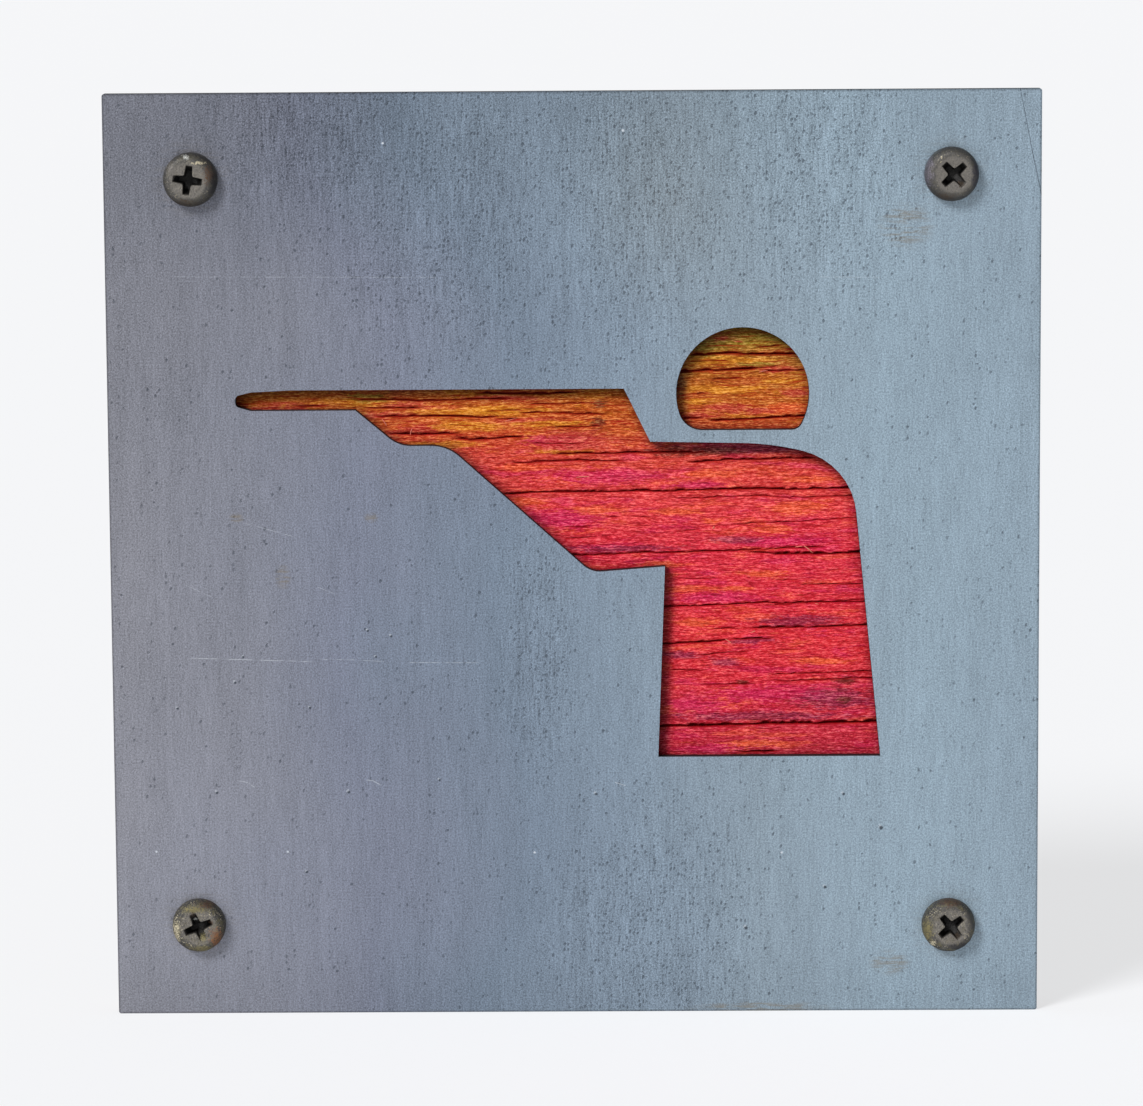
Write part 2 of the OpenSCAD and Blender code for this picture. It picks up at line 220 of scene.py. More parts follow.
def painted_shadow_at_edges(across, up):
    """How much painted shadow lies at each point of the face: 1 close under the plate's edges and 0 away from
    them.
    """
    plate_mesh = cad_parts["face_plate"].data
    corners = [tuple(corner.co) for corner in plate_mesh.vertices]
    steel = BVHTree.FromPolygons(corners, [tuple(face.vertices) for face in plate_mesh.polygons])
    painted_shadow = np.zeros_like(up)
    opened = (across > open_left) & (across < open_right) & (up > open_bottom) & (up < open_top)
    for at in np.argwhere(opened):
        i, j = at
        place = Vector((across[i, j] - painted_shadow_right, board_low.y, up[i, j] + painted_shadow_below)) * MM
        near = steel.find_nearest(place, painted_shadow_reach * MM)[3]
        if near is not None:
            painted_shadow[i, j] = (1 - near / (painted_shadow_reach * MM)) ** 1.5
    return painted_shadow


def skin(name, rings):
    """A closed mesh through rings of points in millimetres, with a flat cap on the first and on the last."""
    count, around = rings.shape[:2]
    at = np.arange(count * around).reshape(count, around)
    beside = np.roll(at, -1, axis=1)
    quads = np.stack([at[:-1], beside[:-1], beside[1:], at[1:]], axis=-1).reshape(-1, 4)
    mesh = bpy.data.meshes.new(name)
    mesh.from_pydata(rings.reshape(-1, 3) * MM, [], [*quads.tolist(), at[0][::-1].tolist(), at[-1].tolist()])
    work = bmesh.new()
    work.from_mesh(mesh)
    bmesh.ops.recalc_face_normals(work, faces=work.faces)
    work.to_mesh(mesh)
    work.free()
    mesh.shade_smooth()
    mesh.set_sharp_from_angle(angle=math.radians(50))
    piece = bpy.data.objects.new(name, mesh)
    bpy.context.scene.collection.objects.link(piece)
    return piece


def drill(piece, holes):
    """Cuts round blind holes, each given by its mouth, its far end and its radius in millimetres."""
    work = bmesh.new()
    for mouth, end, radius in holes:
        way = Vector(end) - Vector(mouth)
        turn = way.to_track_quat("Z", "Y").to_matrix().to_4x4()
        place = Matrix.Translation((Vector(mouth) + way / 2) * MM) @ turn
        bmesh.ops.create_cone(work, cap_ends=True, segments=48, radius1=radius * MM, radius2=radius * MM,
                              depth=way.length * MM, matrix=place)
    mesh = bpy.data.meshes.new("bit")
    work.to_mesh(mesh)
    work.free()
    bit = bpy.data.objects.new("bit", mesh)
    bpy.context.scene.collection.objects.link(bit)
    cut = piece.modifiers.new("holes", "BOOLEAN")
    cut.operation, cut.solver, cut.object = "DIFFERENCE", "MANIFOLD", bit
    bpy.context.view_layer.update()
    drilled = bpy.data.meshes.new_from_object(piece.evaluated_get(bpy.context.evaluated_depsgraph_get()))
    drilled.materials.clear()
    piece.modifiers.clear()
    piece.data = drilled
    bpy.data.objects.remove(bit)


def spaced(*stretches):
    """Places along a line: each stretch is its start, its end and about how far apart its places are."""
    lines = [np.linspace(a, b, round((b - a) / step), endpoint=False) for a, b, step in stretches]
    return np.concatenate([*lines, [stretches[-1][1]]])


def cut_board():
    """The board's mesh: rings round its section, which follow each other from the left end to the right."""
    (left, front, bottom), (right, back, top) = board_low, board_high
    columns = spaced((left, open_left, coarse_column), (open_left, 0, arm_column),
                     (0, open_right, body_column), (open_right, right, coarse_column))
    face = spaced((bottom, open_bottom, coarse_row), (open_bottom, open_top, fine_row),
                  (open_top, top, coarse_row))
    count = len(face)
    worn = back_corner_r
    turn = np.radians(np.linspace(0, 90, corner_points))
    edge = np.linspace(front, back - worn, edge_rows)[1:-1]
    rear = np.linspace(top - worn, bottom + worn, back_rows)[1:-1]
    section = np.concatenate([
        np.stack([np.full(count, front), np.zeros(count)], 1),
        np.stack([edge, np.full_like(edge, top)], 1),
        np.stack([back - worn + worn * np.sin(turn), top - worn + worn * np.cos(turn)], 1),
        np.stack([np.full_like(rear, back), rear], 1),
        np.stack([back - worn + worn * np.cos(turn), bottom + worn - worn * np.sin(turn)], 1),
        np.stack([edge[::-1], np.full_like(edge, bottom)], 1)])
    rings = np.empty((len(columns), len(section), 3))
    rings[..., 0] = columns[:, None]
    rings[..., 1:] = section
    rings[:, :count, 2] = rows_over_checks(columns, face)

    across, up = np.broadcast_to(columns[:, None], (len(columns), count)), rings[:, :count, 2]
    check, dirt = check_depths(columns, up)
    fibres = 0.6 * blotches(across, up, 4.5, 0.5, 1) + 0.4 * blotches(across, up, 2.0, 0.25, 2)
    bands = blotches(across, up, 40, 2.4, 3)
    rings[:, :count, 1] += face_clearance + check + fibre_relief * fibres + band_relief * bands
    first = count + len(edge) + len(turn)
    on_back = np.s_[:, first:first + len(rear)]
    across, up = np.meshgrid(columns, rear, indexing="ij")
    hollow = 0.18 * blotches(across, up, 60, 3.1, 4) + 0.08 * blotches(across, up, 14, 1.1, 5)
    rings[on_back + (1,)] -= hollow * np.clip((top - np.abs(2 * up - top)) / 12, 0, 1)

    board = skin("dyed_board", rings)
    shade = np.zeros((len(columns), len(section)))
    shade[:, :count] = dirt
    board.data.attributes.new("check_dirt", "FLOAT", "POINT").data.foreach_set("value", shade.ravel())
    across = np.broadcast_to(columns[:, None], (len(columns), count))
    # How much painted shadow of the plate's edges falls on each point of the face
    shade[:, :count] = painted_shadow_at_edges(across, rings[:, :count, 2])
    board.data.attributes.new("edge_grime", "FLOAT", "POINT").data.foreach_set("value", shade.ravel())
    return board


board = cut_board()
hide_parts("backing_board")
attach(board, "root")

# Pilot holes: those of the screws come in from the front, those of the hanger's nails from the back
pilot_clearance = 0.05
screw_names = ("screw_top_left", "screw_top_right", "screw_bottom_left", "screw_bottom_right")
nail_names = ("hanger_nail_left", "hanger_nail_right")
screw_thread_r, nail_r = 2.1, 0.7


def middle(node):
    """Where a node's middle lies across and up, and its front and back, in millimetres."""
    low, high = (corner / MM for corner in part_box(node))
    return (low.x + high.x) / 2, (low.z + high.z) / 2, low.y, high.y


def pilot_holes():
    """Each hole's mouth and far end, which stands a little outside the board, and its radius."""
    for name in screw_names:
        x, z, _, tip = middle(name)
        yield (x, board_low.y - 1, z), (x, tip + pilot_clearance, z), screw_thread_r + pilot_clearance
    for name in nail_names:
        x, z, tip, _ = middle(name)
        yield (x, board_high.y + 1, z), (x, tip - pilot_clearance, z), nail_r + pilot_clearance


drill(board, pilot_holes())


class Wire:
    """One output in a material's node tree. Arithmetic on wires adds Math nodes."""

    def __init__(self, socket):
        self.socket = socket

    def node(self, kind, settings=None, inputs=None, output=0):
        """Adds a node: its settings first, then the values or links of its sockets. Gives one output."""
        tree = self.socket.id_data
        made = tree.nodes.new("ShaderNode" + kind)
        for name, value in (settings or {}).items():
            if name == "stops":
                for extra in value[2:]:
                    made.color_ramp.elements.new(extra[0])
                for stop, (place, colour) in zip(made.color_ramp.elements, value):
                    stop.position, stop.color = place, colour
            else:
                setattr(made, name, value)
        for name, value in (inputs or {}).items():
            if isinstance(value, Wire):
                tree.links.new(made.inputs[name], value.socket)
            else:
                made.inputs[name].default_value = value
        return Wire(made.outputs[output])

    def maths(self, operation, *values):
        return self.node("Math", {"operation": operation}, dict(enumerate(values)))

    def __add__(self, other):
        return self.maths("ADD", self, other)

    def __sub__(self, other):
        return self.maths("SUBTRACT", self, other)

    def __rsub__(self, other):
        return self.maths("SUBTRACT", other, self)

    def __mul__(self, other):
        return self.maths("MULTIPLY", self, other)

    def __truediv__(self, other):
        return self.maths("DIVIDE", self, other)

    def __pow__(self, other):
        return self.maths("POWER", self, other)

    __radd__ = __add__
    __rmul__ = __mul__

    def size(self):
        """The value without its sign."""
        return self.maths("ABSOLUTE", self)

    def least(self, other):
        """The lower of two values."""
        return self.maths("MINIMUM", self, other)

    def most(self, other):
        """The higher of two values."""
        return self.maths("MAXIMUM", self, other)

    def rise(self, low, high):
        """0 up to the low value, 1 from the high one, smooth between them. High may be the lower number."""
        return self.node("MapRange", {"interpolation_type": "SMOOTHSTEP"},
                         {"Value": self, "From Min": low, "From Max": high})

    def scaled(self, sizes):
        """A place divided by a size along each axis."""
        return self.node("VectorMath", {"operation": "DIVIDE"}, {0: self, 1: sizes})

    def noise(self, sizes, detail=2.0, rough=0.5, seed=0.0):
        """Cloudy values, mostly from 0.3 to 0.7, that change over these sizes across, deep and up."""
        place = self.scaled(sizes)
        return place.node("TexNoise", {"noise_dimensions": "4D"},
                          {"Vector": place, "W": seed, "Scale": 1.0, "Detail": detail, "Roughness": rough})

    def parts(self):
        """A place's three numbers."""
        first = self.node("SeparateXYZ", None, {0: self})
        return [Wire(socket) for socket in first.socket.node.outputs]

    def beside(self, output):
        """Another output of the same node."""
        return Wire(self.socket.node.outputs[output])

    def spot(self, x, z, half_width, half_height):
        """1 in the middle of an oval on the sign's front, falling to 0 at its rim and below 0 outside."""
        off = self.node("VectorMath", {"operation": "SUBTRACT"}, {0: self, 1: (x, 0, z)})
        off = off.scaled((half_width, 1e6, half_height))
        return 1 - off.node("VectorMath", {"operation": "LENGTH"}, {0: off}, 1)

    def over(self, under, cover):
        """Lays the covering colour over the one under it, as strongly as this mask says."""
        return self.node("Mix", {"data_type": "RGBA"}, {0: self, 6: under, 7: cover}, 2)

    def times(self, value):
        """This colour made darker or lighter by a value."""
        return self.node("VectorMath", {"operation": "SCALE"}, {0: self, "Scale": value})

    def deepened(self, power):
        """This colour made richer and darker by a power over 1, or paler by one under 1."""
        return self.node("Gamma", None, {"Color": self, "Gamma": power})

    def bump(self, depth):
        """Turns this height, from 0 to 1, into relief of this depth in millimetres."""
        return self.node("Bump", None, {"Height": self, "Distance": depth * MM, "Strength": 1.0})


# Which of a node's outputs is the place on the object, the way the surface faces, and a plain number
object_place, facing_way, plain_number = 3, 1, 2


def tone(red, green, blue):
    """A colour given as a screen shows it, each part from 0 to 255."""
    parts = [part / 255 for part in (red, green, blue)]
    return (*[part / 12.92 if part <= 0.04 else ((part + 0.055) / 1.055) ** 2.4 for part in parts], 1.0)


def begin(name, **constants):
    """A new material: it, its shader, and wires for the place in millimetres and the surface's facing."""
    material = bpy.data.materials.new(name)
    material.use_nodes = True
    shader = material.node_tree.nodes["Principled BSDF"]
    for socket, value in constants.items():
        shader.inputs[socket.replace("_", " ")].default_value = value
    start = Wire(shader.outputs[0])
    place = start.node("TexCoord", output=object_place).scaled((MM, MM, MM))
    return material, shader, place, start.node("NewGeometry", output=facing_way)


def feed(shader, **wires):
    """Links wires to the shader's sockets."""
    for socket, wire in wires.items():
        shader.id_data.links.new(shader.inputs[socket.replace("_", " ")], wire.socket)


# Colours of the dye by height over the lower edge, of the stains in it, and of the bare wood
dye_heights = (
    (44.0, tone(188, 44, 64)),
    (60.0, tone(206, 46, 58)),
    (76.0, tone(206, 46, 66)),
    (84.0, tone(208, 60, 64)),
    (91.0, tone(200, 68, 56)),
    (95.5, tone(190, 80, 40)),
    (101.0, tone(180, 96, 34)),
    (112.0, tone(132, 104, 32)),
)
magenta, purple, rose, rust = tone(196, 34, 88), tone(126, 38, 72), tone(186, 62, 58), tone(176, 72, 38)
orange, straw, olive, soot_and_painted_shade = tone(222, 94, 54), tone(206, 134, 36), tone(138, 120, 40), tone(84, 48, 34)
salmon_fibre, straw_fibre = tone(248, 140, 124), tone(238, 184, 108)
maroon_fibre, umber_fibre = tone(128, 16, 32), tone(120, 42, 16)
check_edge, check_deep = tone(150, 4, 8), tone(112, 0, 0)
bare_light, bare_dark, bare_grey = tone(176, 158, 134), tone(120, 100, 80), tone(134, 128, 120)
# Places where the dyes have run together, and dark ovals of soot and of painted shadow: middle across and up,
# half the width and half the height
stains = (
    (magenta, (
        (23.0, 68.4, 8.5, 1.0), (5.0, 88.4, 12.0, 1.5), (-3.0, 94.2, 7.0, 1.0), (28.0, 93.4, 13.0, 1.4),
        (20.0, 86.8, 6.0, 0.8), (-2.0, 81.4, 8.0, 2.0), (34.0, 77.6, 9.0, 1.0), (32.0, 52.6, 12.0, 2.0),
        (20.0, 50.6, 6.0, 1.4), (22.0, 43.6, 7.0, 0.8))),
    (purple, (
        (36.5, 64.6, 8.5, 1.2), (17.0, 59.0, 4.2, 0.8), (24.2, 57.9, 2.8, 0.8), (28.8, 61.3, 4.4, 0.6),
        # The oval at 30 across and 92.6 up is partly dark wood and partly painted shadow under the shoulder's
        # top edge
        (30.0, 92.6, 11.0, 0.9), (26.0, 77.9, 5.0, 0.7), (42.0, 51.8, 8.0, 2.2), (30.0, 48.9, 18.0, 0.9),
        (8.0, 76.6, 11.0, 0.7))),
    (rose, (
        (36.4, 101.7, 3.6, 0.9), (25.0, 99.3, 5.0, 0.8), (29.9, 98.9, 3.2, 0.6), (20.0, 98.2, 4.0, 0.8),
        (25.0, 110.4, 5.0, 0.5), (-24.0, 96.2, 6.0, 1.0), (-28.0, 100.2, 5.0, 0.7), (33.0, 105.6, 4.0, 0.7),
        (-49.0, 99.4, 8.0, 1.1), (-30.0, 98.6, 7.0, 0.6), (-27.0, 95.6, 5.0, 0.6), (-12.0, 101.2, 7.0, 0.5),
        (-8.0, 97.6, 6.0, 0.5), (-42.0, 100.4, 9.0, 0.5), (-22.0, 99.6, 8.0, 0.5),
        (0.5, 94.2, 6.5, 2.2))),
    (orange, (
        (19.0, 69.9, 5.0, 0.7), (26.0, 69.9, 3.0, 0.5), (32.0, 79.6, 4.4, 0.8), (22.0, 81.0, 1.8, 0.6),
        (36.0, 83.0, 6.0, 1.4), (-8.0, 89.8, 6.5, 0.7), (-7.5, 84.2, 4.0, 0.8), (29.0, 44.4, 6.0, 0.8),
        (20.0, 64.4, 5.0, 1.0), (40.0, 58.0, 6.0, 0.6), (34.5, 99.2, 4.4, 1.0), (4.0, 82.8, 6.0, 0.9),
        (16.0, 82.6, 5.0, 0.7), (22.0, 88.6, 6.0, 0.7), (38.0, 87.6, 5.0, 0.6), (30.0, 72.4, 6.0, 0.6),
        (14.0, 74.0, 4.0, 0.6))),
    (straw, (
        (24.5, 107.0, 5.5, 0.8), (24.5, 102.4, 7.5, 0.9), (20.4, 100.4, 3.6, 0.8), (-15.0, 99.0, 13.0, 1.1),
        (-17.0, 96.6, 7.0, 0.8), (-36.0, 100.6, 9.0, 0.7), (-4.0, 97.0, 8.0, 0.7), (33.0, 103.8, 4.0, 0.5),
        (-22.0, 93.6, 8.0, 0.7), (-14.2, 85.0, 3.0, 0.7), (-2.0, 92.4, 6.0, 0.5))),
    (olive, (
        (21.0, 109.0, 5.0, 2.0), (30.0, 110.6, 7.0, 1.7), (30.0, 106.4, 3.4, 0.6), (-33.0, 101.4, 4.0, 1.0))),
    (soot_and_painted_shade, (
        (4.3, 100.1, 1.5, 0.8), (4.0, 97.0, 1.4, 1.0), (43.8, 54.8, 2.4, 0.9), (43.6, 51.6, 1.6, 0.6),
        (27.2, 54.6, 1.3, 0.4), (17.6, 110.0, 2.4, 2.4), (16.8, 103.6, 1.4, 3.0),
        # Painted shadow under the shoulder's top edge, where the plate shades the face
        (20.0, 92.4, 10.0, 1.0))),
)
# The tree's pith, deep behind the board and up from its lower edge, and the width of one year's ring
pith_deep, pith_up, year = 46.0, 58.0, 2.6


def join(masks):
    """The strongest of several masks."""
    total = masks[0]
    for mask in masks[1:]:
        total = total.most(mask)
    return total


def dye_the_board():
    """The board's material: bands and stains of dye on the face, bare weathered wood on sides and back."""
    material, shader, place, facing = begin("dyed_wood", Specular_IOR_Level=0.1)
    _, deep, up = place.parts()
    forward = facing.parts()[1] * -1
    drift = place.noise((6, 3, 2.4), 2, seed=5).beside("Color")
    wavy = drift.node("VectorMath", {"operation": "MULTIPLY_ADD"}, {0: drift, 1: (0, 0, 1.0), 2: place})
    ragged = wavy.noise((1.6, 0.5, 0.3), 3, 0.68, seed=2) - 0.5
    low, high = dye_heights[0][0], dye_heights[-1][0]
    waver = place.noise((24, 8, 6), 2, seed=3) - 0.5
    height = (up + waver * 8 + ragged * 9 - low) / (high - low)
    stops = [((at - low) / (high - low), colour) for at, colour in dye_heights]
    colour = height.node("ValToRGB", {"stops": stops}, {"Fac": height})
    amber_part = (up + waver * 8 + ragged * 3).rise(90, 97)
    streaked = wavy.noise((8, 4, 1.3), 2, seed=8)
    pinks = (streaked - ragged * 0.5).rise(0.44, 0.34)
    colour = (pinks * 0.5).over(colour, amber_part.over(magenta, rust))
    ambers = (streaked + ragged * 0.5).rise(0.57, 0.68)
    colour = (ambers * 0.4).over(colour, amber_part.over(orange, straw))
    for number, (dye, spots) in enumerate(stains):
        fray = 2.6 if number % 2 else -2.6
        stained = join([wavy.spot(*spot) for spot in spots]) + ragged * fray
        colour = (stained.rise(-0.1, 0.6) * 0.75).over(colour, dye)

    rings = ((deep - pith_deep) ** 2 + (up - pith_up) ** 2) ** 0.5 / year
    rings = rings + place.noise((40, 9, 9), 2, seed=14) * 1.5
    late = rings.maths("FRACT", rings).rise(0.45, 0.95)
    bare = late.over(bare_light, bare_dark)
    weather = place.noise((16, 6, 6), 3, 0.6, seed=17).rise(0.38, 0.62)
    bare = (weather * 0.75).over(bare, bare_grey)
    soak = (board_low.y + 1.1 + place.noise((3, 3, 1.5), 2, seed=20) * 1.6 - deep).rise(-0.1, 0.5)
    dyed = forward.rise(0.2, 0.5).most(soak)

    fibres = wavy.noise((2.8, 0.4, 0.2), 3, 0.66, seed=23)
    grain = wavy.noise((0.85, 0.3, 0.17), 2, 0.8, seed=26)
    strands = (grain + fibres) * 0.5
    colour = (strands.rise(0.49, 0.62) * 0.18).over(colour, amber_part.over(salmon_fibre, straw_fibre))
    colour = (fibres.rise(0.5, 0.34) * 0.3).over(colour, amber_part.over(maroon_fibre, umber_fibre))
    bright_strands, bright_grain = strands.rise(0.4, 0.6), grain.rise(0.38, 0.62)
    colour = colour.deepened(1.3 - 0.24 * bright_strands - 0.22 * bright_grain)
    shade = 0.6 + 0.22 * bright_strands + 0.28 * bright_grain + 0.24 * fibres.rise(0.34, 0.66)
    colour = dyed.over(bare, colour).times(shade)
    lines = wavy.noise((5, 0.4, 0.15), 2, 0.5, seed=29).rise(0.54, 0.66) * (0.42 + 0.36 * amber_part)
    checks = place.node("Attribute", {"attribute_name": "check_dirt"}, output=plain_number)
    broken = checks + (grain - 0.5) * 1.2
    colour = (broken.rise(0.1, 0.55) * 0.75).most(lines).over(colour, check_edge)
    colour = (broken.rise(0.55, 1.05) * 0.9).over(colour, check_deep)
    # Painted shadow of the plate's edges: the face is darkened close under the upper and left edges of the
    # cut-out
    painted_shadow = place.node("Attribute", {"attribute_name": "edge_grime"}, output=plain_number)
    colour = colour.times(1 - 0.62 * painted_shadow)
    relief = (fibres * 1.4 + grain * 2.0 - late * 0.3).bump(0.08)
    feed(shader, Base_Color=colour, Roughness=0.62 + 0.3 * weather, Normal=relief)
    return material


board.data.materials.append(dye_the_board())

# Slivers that have lifted off the face: middle across and up, length, lean in degrees and thickness
slivers = (
    (37.7, 75.8, 2.2, -38, 0.2),
    (36.4, 76.2, 1.5, 6, 0.14),
    (22.5, 79.4, 0.6, 60, 0.24),
    (24.9, 60.7, 1.7, -38, 0.17),
    (28.9, 62.3, 1.3, 20, 0.18),
    (39.2, 66.8, 1.2, -12, 0.14),
    (-30.6, 96.8, 1.7, -56, 0.16),
    (-26.2, 95.3, 1.4, 74, 0.16),
    (-10.3, 97.0, 2.2, 16, 0.12),
    (1.4, 87.7, 2.8, 4, 0.15),
    (30.5, 104.7, 1.6, 12, 0.14),
)
sliver_lift, sliver_bend, sliver_pale = 0.22, 0.05, tone(206, 122, 102)


def lift_slivers():
    """One mesh of thin pointed rods that arch over the face, with their ends sunk in it."""
    steps, sides = np.linspace(0, 1, 13), np.linspace(0, 2 * np.pi, 6, endpoint=False)
    work = bmesh.new()
    for x, z, length, lean, thick in slivers:
        along = (steps - 0.5) * length
        bend = sliver_bend * length * np.sin(np.pi * steps)
        lean = np.radians(lean)
        path = np.stack([x + along * np.cos(lean) - bend * np.sin(lean),
                         board_low.y + 0.3 - sliver_lift * np.sin(np.pi * steps) ** 0.7,
                         z + along * np.sin(lean) + bend * np.cos(lean)], 1)
        r = thick / 2 * np.sin(np.pi * np.clip(steps, 0.05, 0.95)) ** 0.6
        section = np.stack([-np.sin(lean) * np.cos(sides), np.sin(sides), np.cos(lean) * np.cos(sides)], 1)
        rings = path[:, None, :] + section * r[:, None, None]
        rod = skin("sliver", rings)
        work.from_mesh(rod.data)
        bpy.data.objects.remove(rod)
    mesh = bpy.data.meshes.new("lifted_slivers")
    work.to_mesh(mesh)
    work.free()
    piece = bpy.data.objects.new("lifted_slivers", mesh)
    bpy.context.scene.collection.objects.link(piece)
    return piece


def bleach_slivers():
    material, shader, place, _ = begin("bleached_sliver", Specular_IOR_Level=0.2, Roughness=0.8)
    streaks = place.noise((0.5, 0.3, 0.12), 2, 0.6, seed=31).rise(0.3, 0.7)
    feed(shader, Base_Color=(streaks * 0.45).over(sliver_pale, rose), Normal=streaks.bump(0.02))
    return material


chips = lift_slivers()
chips.data.materials.append(bleach_slivers())
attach(chips, "root")

# Face plate: 2 mm of hot-rolled steel with its blue-grey mill scale left on, cut to shape with the figure
# through it. The cut walls are dark with oxide, and the rolled face has streaks, pits and a few scratches.
# It lies flat on the board under the four screw heads.

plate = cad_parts["face_plate"]
plate_low, plate_high = (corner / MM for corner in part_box("face_plate"))
plate_half, plate_middle = plate_high.x, plate_high.z / 2

# Colours of the plate's face from the left edge to the right one
face_tones_across = (
    (0.0, tone(134, 135, 144)),
    (0.15, tone(130, 133, 145)),
    (0.28, tone(123, 129, 146)),
    (0.42, tone(119, 133, 150)),
    (0.56, tone(131, 147, 163)),
    (0.70, tone(139, 155, 168)),
    (0.86, tone(146, 165, 179)),
    (1.0, tone(142, 160, 174)),
)
cut_oxide, pit_black, stain_brown = tone(30, 30, 34), tone(48, 56, 66), tone(122, 112, 94)
scratch_and_highlight_white = tone(204, 210, 218)
# Scratches: start across and up, end across and up, and half the width
light_scratches = (
    (-63.8, 120.7, -22.0, 120.4, 0.05),
    (39.6, 120.1, 49.2, 120.0, 0.05),
    (-62.2, 58.8, -42.0, 58.1, 0.10),
    (-41.3, 58.5, -35.8, 58.4, 0.07),
    (-34.8, 58.3, -31.0, 58.1, 0.07),
    (-26.8, 57.9, -15.6, 57.8, 0.07),
    (-55.0, 38.6, -53.4, 38.3, 0.12),
    (-53.4, 38.3, -52.3, 37.5, 0.12),
    (-34.0, 38.6, -33.0, 38.5, 0.11),
    (-33.0, 38.5, -31.8, 37.8, 0.11),
    (6.4, 38.0, 8.0, 37.5, 0.11),
    (-53.1, 80.8, -45.1, 78.5, 0.06),
    (-41.5, 70.3, -38.3, 69.0, 0.05),
    (-63.0, 70.8, -58.7, 68.8, 0.05),
)
dark_scratches = (
    (71.5, 150.0, 73.6, 139.5, 0.08),
    (73.6, 139.5, 75.0, 133.0, 0.10),
)
# Where pits and streaks crowd on the rolled face: middle across and up, half the width and half the height
pitted = (
    (-20.0, 130.0, 26.0, 34.0),
    (10.0, 130.0, 24.0, 36.0),
    (12.0, 14.0, 26.0, 30.0),
    (-40.0, 144.0, 26.0, 22.0),
    (38.0, 136.0, 24.0, 30.0),
    (-6.0, 60.0, 9.0, 30.0),
)
# Single nicks, dark, with a painted highlight on the lip at their upper left: middle across and up, and half
# the width
nicks = (
    (49.5, 30.4, 0.42),
    (-58.4, 36.7, 0.30),
    (-37.0, 36.7, 0.32),
    (-64.6, 50.6, 0.26),
    (-43.1, 50.6, 0.26),
    (-22.2, 38.6, 0.26),
    (3.2, 36.2, 0.32),
    (43.4, 36.0, 0.32),
    (-53.8, 59.0, 0.24),
    (-32.3, 58.9, 0.24),
    (-44.0, 23.5, 0.28),
    (-29.8, 62.3, 0.28),
    (-33.6, 63.2, 0.26),
    (-55.2, 54.8, 0.28),
    (40.4, 20.6, 0.36),
    (27.5, 13.9, 0.36),
)
# Brown stains, then bright flecks where the scale is chipped: middle across and up, half the width and height
scale_stains = (
    (53.4, 128.2, 5.4, 4.4),
    (51.0, 8.0, 4.0, 2.6),
    (-54.5, 81.7, 1.5, 1.0),
    (-32.8, 81.6, 1.4, 1.0),
    (-47.1, 72.0, 1.6, 2.4),
    (30.0, 0.6, 14.0, 1.2),
)
chips_in_scale = (
    (8.2, 143.7, 0.34, 0.3),
    (-30.2, 141.9, 0.28, 0.28),
    (-68.4, 26.9, 0.26, 0.26),
    (-47.0, 26.8, 0.26, 0.26),
    (-6.8, 26.5, 0.3, 0.26),
    (33.4, 26.3, 0.3, 0.26),
)


def line_mask(across, up, start_x, start_z, end_x, end_z, half):
    """1 along a thin straight line, 0 away from it."""
    run, climb = end_x - start_x, end_z - start_z
    span = run * run + climb * climb
    share = ((across - start_x) * run + (up - start_z) * climb) / span
    share = share.least(1.0).most(0.0)
    off = ((across - start_x - share * run) ** 2 + (up - start_z - share * climb) ** 2) ** 0.5
    return off.rise(half, half * 0.3)


